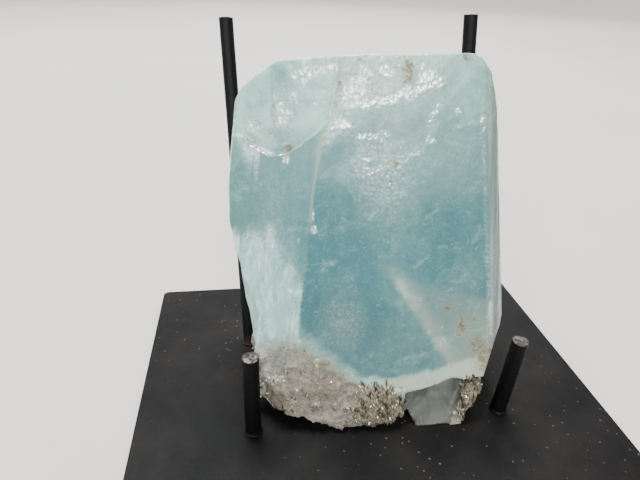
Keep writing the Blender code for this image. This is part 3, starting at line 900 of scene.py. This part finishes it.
def colour_fields(p, normal, fields):
    """How strong each colour and flaw is, 0 to 1. The crystal's far sides have simpler ones of their own."""
    u, w, v = p.T
    front = Front(p, fields)
    near = ramp(46, 22, w)
    own = {
        "deep": front.deep(),
        "milk": front.milk(),
        "net": blobs(p, NET_SPOTS) + front.frosted,
        "stain": blobs(p, STAIN_SPOTS),
        "grey": blobs(p, GREY_SPOTS),
        # The glints are a painted highlight on the breaks
        "painted_glint": painted_glint_field(p),
        "cream": front.cream(),
        "seam": ramp(82, 92, v) * ramp(-56, -44, u),
        "fibrous": front.fibrous(),
    }
    far_deep = 0.42 + 0.25 * ramp(60, 10, v) - 0.2 * ramp(110, 140, v)
    far = {
        "deep": far_deep + 0.30 * field(p, 30, 37, 3),
        "milk": 0.30 + 0.5 * field(p, 24, 38, 3),
        "net": 0.35 + 0.5 * field(p, 18, 39, 2),
        "stain": 0.9 * ramp(0.45, 0.75, field(p, 16, 40, 3)) + 0.5 * ramp(22, 8, v),
    }
    made = {name: np.clip(near * np.clip(value, 0, 1) + (1 - near) * far.get(name, 0), 0, 1)
            for name, value in own.items()}
    made["lined"] = ramp(12, 24, side_turn(normal)) * (w < FRONT_DEPTH_MM)
    return made


def body_colour(g, place):
    """The crystal's colour from its deep blue to its milky parts, and how milky it is."""
    clouds = g.noise(place, 45, 8, 0.64, 0.6)
    curds = g.noise(place, 230, 7, 0.70, 0.6)
    mottle = g.noise(place, 760, 5, 0.68, 0.3)
    wisps = g.noise(g.turned(place, math.radians(24), (0.45, 1, 1)), 120, 8, 0.68, 0.8)
    fibres = g.noise(g.stretched(place, (1, 1, 0.08)), 430, 5, 0.62, 0.3)
    zones = g.noise(g.stretched(place, (1, 1, 0.06)), 150, 4, 0.55)
    threads = g.noise(g.stretched(place, (1, 1, 0.28)), 300, 6, 0.68, 0.8)
    fibrous, net = g.attribute("fibrous"), g.attribute("net")
    deep = g.plus(g.attribute("deep"), g.spread(clouds, -0.12, 0.12), g.spread(curds, 0.12, -0.12),
                  g.spread(zones, 0.07, -0.07), g.spread(mottle, -0.06, 0.06))
    milk = g.plus(g.attribute("milk"), g.spread(wisps, -0.34, 0.34), g.spread(curds, -0.16, 0.16))
    veil = g.times(g.span(milk, 0.08, 1.0), g.spread(fibres, 0.88, 1.0), g.spread(mottle, 0.86, 1.0))
    veins = g.math("MAXIMUM", g.veins(place, 170, 0.10, 0.7), g.veins(place, 420, 0.12, 0.5))
    curdled = g.times(g.span(mottle, 0.47, 0.66), g.span(curds, 0.40, 0.60, 0.25, 1.0), net)
    # Dark grey-teal patches that stand for shaded hollows in the veils: painted shade
    shaded_pits = g.times(g.span(mottle, 0.50, 0.37), g.span(curds, 0.62, 0.45, 0.35, 1.0), net)
    body = g.paint(
        g.tint(g.span(deep, 0.0, 1.0), PALE_GREEN, DEEP_BLUE),
        (g.times(veil, 0.90), MILKY_GREEN),
        (g.times(g.span(threads, 0.54, 0.43), fibrous, 0.8), FIBRE_SHADE),
        (g.times(g.span(threads, 0.54, 0.62), fibrous, 0.8), FIBRE_WHITE),
        (g.times(g.attribute("cream"), g.spread(wisps, 0.6, 0.95)), WARM_CREAM),
        (g.times(veins, net, 0.30), VEIN_PALE),
        (g.times(curdled, 0.66), CURD_WHITE),
        (g.times(shaded_pits, 0.74), PIT_SHADE),
    )
    return body, veil, curds, mottle, fibres


def add_flaws(g, place, body, mottle, fibres):
    """Painted highlights on the breaks (white glints and sparks with a pale painted glow), ragged rims, lined
    side faces, stains and the sandy foot, over the body colour.

    Returns the colour and where the breaks shine like a mirror."""
    fine = g.noise(place, 640, 5, 0.75, 1.2)
    shards = g.noise(g.turned(place, math.radians(20), (0.6, 1, 1)), 1000, 4, 0.8, 1.0)
    frost, painted_glint, seam, stain = (g.attribute(name) for name in ("frost", "painted_glint", "seam", "stain"))
    crumbs = g.times(g.span(fine, 0.50, 0.60), frost, 0.6)
    # Sparks, glow and flecks are painted highlights: white and a pale glow laid where the breaks and the
    # etched zone glint
    painted_sparks = g.times(g.span(fine, 0.595, 0.64), g.span(frost, 0.1, 0.8))
    painted_glow = g.span(g.plus(painted_glint, g.spread(fine, -0.5, 0.5)), 0.1, 1.0)
    flecks = g.span(g.plus(painted_glint, g.span(shards, 0.32, 0.68, -1.0, 0.7)), 0.50, 0.62)
    specks = g.times(g.span(g.cells(place, 430), 0.15, 0.08), g.span(mottle, 0.45, 0.6), 0.25)
    stripes = g.noise(g.stretched(place, (1, 1, 0.02)), 300, 4, 0.6)
    side = g.tint(g.span(stripes, 0.36, 0.64), STRIPE_DARK, STRIPE_PALE)
    lined = g.times(g.attribute("lined"), g.span(fibres, 0.3, 0.6, 0.45, 0.88))
    off_chip = g.math("ABSOLUTE", g.attribute("chip"))
    chip_rim = g.times(g.span(off_chip, 0.9, 0.2), g.span(mottle, 0.35, 0.6, 0.1, 1), seam, 0.32)
    off_ridge = g.math("ABSOLUTE", g.plus(g.attribute("ridge"), -0.4))
    ridge_line = g.times(g.span(off_ridge, 0.9, 0.2), g.span(mottle, 0.3, 0.6, 0.3, 0.85), seam)
    grey = g.times(g.attribute("grey"), g.span(mottle, 0.3, 0.65))
    wash = g.times(stain, g.spread(mottle, 0.35, 0.65))
    cores = g.plus(stain, g.span(g.noise(place, 520, 6, 0.75, 0.8), 0.34, 0.66, -0.75, 0.65))
    sand = g.tint(g.span(mottle, 0.36, 0.62), SAND_DARK, SAND_PALE)
    sandy = g.plus(g.attribute("sand"), g.spread(g.noise(place, 190, 6, 0.72), -0.3, 0.3))
    body = g.paint(
        body,
        (crumbs, CRUMB_WHITE),
        (g.times(painted_sparks, 0.9), PAINTED_GLINT_WHITE),
        (g.times(painted_glow, 0.5), PAINTED_GLOW_PALE),
        (flecks, PAINTED_GLINT_WHITE),
        (specks, SPECK_PALE),
        (lined, side),
        (chip_rim, CHIP_RIM_PALE),
        (ridge_line, RIDGE_WORN),
        (grey, SMOKY_GREY),
        (wash, STAIN_OLIVE),
        (g.span(cores, 0.70, 1.05, 0, 0.85), STAIN_BROWN),
        (g.span(sandy, 0.15, 1.1), g.tint(g.times(wash, 0.9), sand, SAND_STAINED)),
    )
    return body, g.math("MAXIMUM", flecks, painted_sparks)


def aquamarine_material():
    material, g, shader = new_material("aquamarine_body")
    place = g.attribute("axes", "Vector")
    body, veil, curds, mottle, fibres = body_colour(g, place)
    body, mirrors = add_flaws(g, place, body, mottle, fibres)
    rough = g.plus(g.span(veil, 0.0, 1.0, 0.16, 0.36), g.spread(mottle, -0.05, 0.08))
    cloudy = g.math("MAXIMUM", veil, g.attribute("sand"))
    lines = g.noise(g.stretched(place, (1, 1, 0.02)), 1100, 3, 0.6)
    breaks = g.math("MAXIMUM", g.attribute("frost"), g.times(g.attribute("painted_glint"), 0.8))
    shells = g.times(g.math("SUBTRACT", g.cells(place, 620), 0.42), breaks)
    folds = g.times(g.math("SUBTRACT", curds, 0.5), breaks)
    skin = g.bump(g.noise(place, 800, 4, 0.6), 0.22, 0.0003)
    skin = g.bump(lines, 0.16, 0.0003, skin)
    skin = g.bump(shells, 0.5, 0.0009, skin)
    g.fill(shader, {
        "Base Color": body,
        "Metallic": g.times(mirrors, 0.55),
        "Roughness": g.math("SUBTRACT", rough, g.times(mirrors, 0.12)),
        "IOR": 1.57,
        "Transmission Weight": g.span(cloudy, 0, 1, 0.40, 0.12),
        "Subsurface Weight": 1.0,
        "Subsurface Radius": (0.6, 1.0, 1.0),
        "Subsurface Scale": 0.0017,
        "Normal": g.bump(folds, 0.5, 0.0012, skin),
    })
    return material


def matrix_material():
    material, g, shader = new_material("granular_matrix")
    place = g.attribute("axes", "Vector")
    pale = g.times(g.span(g.noise(place, 900, 3, 0.7), 0.55, 0.7), 0.5)
    black = g.times(g.span(g.cells(place, 620), 0.2, 0.1), 0.4)
    patches = g.span(g.noise(place, 65, 5, 0.65), 0.52, 0.70)
    rusty = g.math("MAXIMUM", patches, g.times(g.attribute("stain"), 0.8))
    rust = g.times(rusty, 0.6, g.span(g.noise(place, 500, 4, 0.7), 0.36, 0.6))
    base = g.paint(
        g.tint(g.spread(g.noise(place, 110, 7, 0.72)), MATRIX_DARK, MATRIX_TAN),
        (pale, MATRIX_PALE),
        (black, MATRIX_BLACK),
        (rust, MATRIX_RUST),
    )
    rough = g.bump(g.noise(place, 480, 6, 0.7), 0.7, 0.0008)
    g.fill(shader, {
        "Base Color": base,
        "Roughness": g.span(g.noise(place, 800, 3, 0.6), 0.35, 0.65, 0.25, 0.75),
        "Subsurface Weight": 0.5,
        "Subsurface Radius": (1.0, 1.0, 1.0),
        "Subsurface Scale": 0.0009,
        "Normal": g.bump(g.cells(place, 900), 0.4, 0.0004, rough),
    })
    return material


def quartz_material():
    material, g, shader = new_material("grey_quartz")
    place = g.attribute("axes", "Vector")
    clouds = g.noise(place, 75, 6, 0.62, 0.5)
    flecks = g.span(g.noise(place, 500, 5, 0.7), 0.60, 0.70, 0, 0.5)
    base = g.tint(g.span(clouds, 0.33, 0.67), QUARTZ_DARK, QUARTZ_GREY)
    g.fill(shader, {
        "Base Color": g.tint(flecks, base, QUARTZ_FLECK),
        "Roughness": g.spread(clouds, 0.40, 0.55),
        "IOR": 1.54,
        "Transmission Weight": 0.12,
        "Specular IOR Level": 0.22,
        "Subsurface Weight": 1.0,
        "Subsurface Radius": (0.9, 1.0, 0.95),
        "Subsurface Scale": 0.003,
        "Normal": g.bump(g.noise(place, 300, 5, 0.6), 0.3, 0.0005),
    })
    return material


def give_regions_materials(mesh, fields):
    """Slot 0 is the crystal, 1 the matrix, 2 the quartz block."""
    for material in (aquamarine_material(), matrix_material(), quartz_material()):
        mesh.materials.append(material)
    loops = np.empty(len(mesh.loops), np.int64)
    mesh.loops.foreach_get("vertex_index", loops)
    starts = np.empty(len(mesh.polygons), np.int64)
    mesh.polygons.foreach_get("loop_start", starts)
    corners = np.diff(np.append(starts, len(loops)))
    share = {name: np.add.reduceat(fields[name][loops], starts) / corners for name in ("quartz", "matrix")}
    slots = np.where(share["quartz"] > 0.5, 2, np.where(share["matrix"] > 0.5, 1, 0))
    mesh.polygons.foreach_set("material_index", slots.astype(np.int32))


def make_crystal(frame):
    mesh = remeshed(frame["nodes"]["aquamarine_crystal"], CRYSTAL_VOXEL_MM)
    p, normal, fields = shape_crystal(mesh)
    set_field(mesh, "axes", p * MM)
    for name, values in (fields | colour_fields(p, normal, fields)).items():
        set_field(mesh, name, values)
    give_regions_materials(mesh, fields)
    add_piece("aquamarine", mesh, "aquamarine", "aquamarine_crystal")
    return mesh


# ---- grains and flakes


def random_vector(g, low, high, seed):
    ends = {0: low, 1: high, "Seed": seed}
    return g.node("FunctionNodeRandomValue", ends, data_type="FLOAT_VECTOR").outputs[0]


def scatter_tree(name, shape, turn_low, turn_high, size_low, size_high):
    """Geometry nodes: small shapes over a surface where its attribute of this name is high."""
    tree = bpy.data.node_groups.new(name, "GeometryNodeTree")
    inputs = {"Geometry": "Geometry", "Spacing": "Float", "Density": "Float", "Size": "Float",
              "Seed": "Int", "Finish": "Material"}
    for label, kind in inputs.items():
        tree.interface.new_socket(label, in_out="INPUT", socket_type=f"NodeSocket{kind}")
    tree.interface.new_socket("Geometry", in_out="OUTPUT", socket_type="NodeSocketGeometry")
    g = Graph(tree)
    given = g.node("NodeGroupInput").outputs
    cover = g.node("GeometryNodeInputNamedAttribute", {"Name": name}, data_type="FLOAT")
    spread = g.node("GeometryNodeDistributePointsOnFaces", distribute_method="POISSON")
    g.fill(spread, {
        "Mesh": given["Geometry"],
        "Distance Min": given["Spacing"],
        "Density Max": given["Density"],
        "Density Factor": cover.outputs["Attribute"],
        "Seed": given["Seed"],
    })
    size = random_vector(g, size_low, size_high, 3)
    scale = g.node("ShaderNodeVectorMath", {0: size, "Scale": given["Size"]}, operation="SCALE")
    put = g.node("GeometryNodeInstanceOnPoints", {
        "Points": spread.outputs["Points"],
        "Instance": shape(g),
        "Rotation": random_vector(g, turn_low, turn_high, 0),
        "Scale": scale.outputs[0],
    })
    shade = g.node("FunctionNodeRandomValue", {"Seed": 5}, data_type="FLOAT").outputs[1]
    shaded = {"Geometry": put.outputs["Instances"], "Name": "shade", "Value": shade}
    store = g.node("GeometryNodeStoreNamedAttribute", shaded, data_type="FLOAT", domain="INSTANCE")
    real = g.node("GeometryNodeRealizeInstances", {"Geometry": store.outputs["Geometry"]})
    finished = {"Geometry": real.outputs["Geometry"], "Material": given["Finish"]}
    finish = g.node("GeometryNodeSetMaterial", finished)
    g.node("NodeGroupOutput", {"Geometry": finish.outputs["Geometry"]})
    return tree


def grain_shape(g):
    return g.node("GeometryNodeMeshIcoSphere", {"Radius": 1.0, "Subdivisions": 1}).outputs["Mesh"]


def flake_shape(g):
    """A six-sided leaf, much thinner than it is wide."""
    return g.node("GeometryNodeMeshCylinder", {"Vertices": 6, "Radius": 1.0, "Depth": 0.16}).outputs["Mesh"]


def scatter(name, ground, tree, material, spacing_mm, size_mm, seed):
    """Runs a scatter tree over a mesh and returns the result as a plain mesh."""
    carrier = new_object(name, ground)
    modifier = carrier.modifiers.new("scatter", "NODES")
    modifier.node_group = tree
    values = {"Spacing": spacing_mm * MM, "Density": 3.0 / (spacing_mm * MM) ** 2, "Size": size_mm * MM,
              "Seed": seed, "Finish": material}
    for item in tree.interface.items_tree:
        if item.in_out == "INPUT" and item.name in values:
            modifier[item.identifier] = values[item.name]
    mesh = finished_mesh(carrier)
    mesh.name = name
    return mesh


def grain_material():
    """Grains of white quartz, grey and tan feldspar and a few dark ones, each with its own shade. The whitest
    few are painted whiter as glints, a painted highlight over real white quartz.
    """
    material, g, shader = new_material("matrix_grain")
    shade = g.attribute("shade")
    base = g.paint(
        g.tint(g.span(shade, 0.0, 0.7), GRAIN_DARK, GRAIN_TAN),
        (g.span(shade, 0.86, 0.96), GRAIN_PALE),
        (g.span(shade, 0.10, 0.06), GRAIN_BLACK),
        # The whitest grains: white quartz painted whiter as glints, partly a painted highlight
        (g.span(shade, 0.95, 0.97), GRAIN_WHITE_GLINT),
        (g.span(g.noise(g.object_place(), 70, 5, 0.65), 0.45, 0.68, 0.0, 0.6), GRAIN_RUST),
    )
    fine = g.bump(g.noise(g.object_place(), 1500, 3, 0.6), 0.25, 0.0002)
    g.fill(shader, {"Base Color": base, "Roughness": g.span(shade, 0.0, 1.0, 0.55, 0.16), "Normal": fine})
    return material


def mica_material():
    material, g, shader = new_material("silvery_mica")
    shade = g.attribute("shade")
    sheets = g.noise(g.object_place(), 1200, 3, 0.6)
    base = g.tint(g.span(shade, 0.2, 0.95), MICA_DARK, MICA_SILVER)
    g.fill(shader, {
        "Base Color": g.tint(g.span(sheets, 0.35, 0.65, 0, 0.4), base, MICA_BROWN),
        "Metallic": g.span(shade, 0.0, 1.0, 0.2, 0.75),
        "Roughness": g.spread(sheets, 0.18, 0.42),
        "Normal": g.bump(sheets, 0.3, 0.0002),
    })
    return material


def make_grains(crystal):
    """Grains stand half out of the matrix, and leaves of mica stand upright in its two pockets."""
    ground = crystal.copy()
    matrix, mica, sand = (np.empty(len(ground.vertices)) for _ in range(3))
    for name, values in (("matrix", matrix), ("mica", mica), ("sand", sand)):
        ground.attributes[name].data.foreach_get("value", values)
    free = places_of(ground)[:, 2] > (PLATE_TOP_MM + 1.5) * MM
    axes = to_axes(places_of(ground))
    patchy = ramp(-0.5, 0.35, field(axes, 7.0, 41, 3))
    loose = 0.10 * ramp(0.5, 0.9, sand)
    set_field(ground, "grain_cover", np.maximum(matrix * patchy, loose) * (1 - 0.8 * mica) * free)
    set_field(ground, "mica_cover", mica * free)
    half_turn = math.pi
    grains = scatter_tree("grain_cover", grain_shape, (-half_turn,) * 3, (half_turn,) * 3, (0.35, 0.35, 0.35),
                          (1.6, 1.2, 1.1))
    mesh = scatter("grains", ground, grains, grain_material(), 1.2, 0.46, 4)
    add_piece("matrix_grains", mesh, "aquamarine")
    leaves = scatter_tree("mica_cover", flake_shape, (-0.70, 1.15, -0.7), (0.05, 1.95, 0.7), (0.5, 0.45, 0.6),
                          (1.9, 1.3, 3.0))
    mesh = scatter("leaves", ground, leaves, mica_material(), 1.0, 1.0, 9)
    add_piece("mica_leaves", mesh, "aquamarine")


def main():
    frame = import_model()
    make_camera()
    make_floor()
    make_lights()
    dress_stand(frame)
    crystal = make_crystal(frame)
    make_grains(crystal)
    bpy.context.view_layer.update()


main()
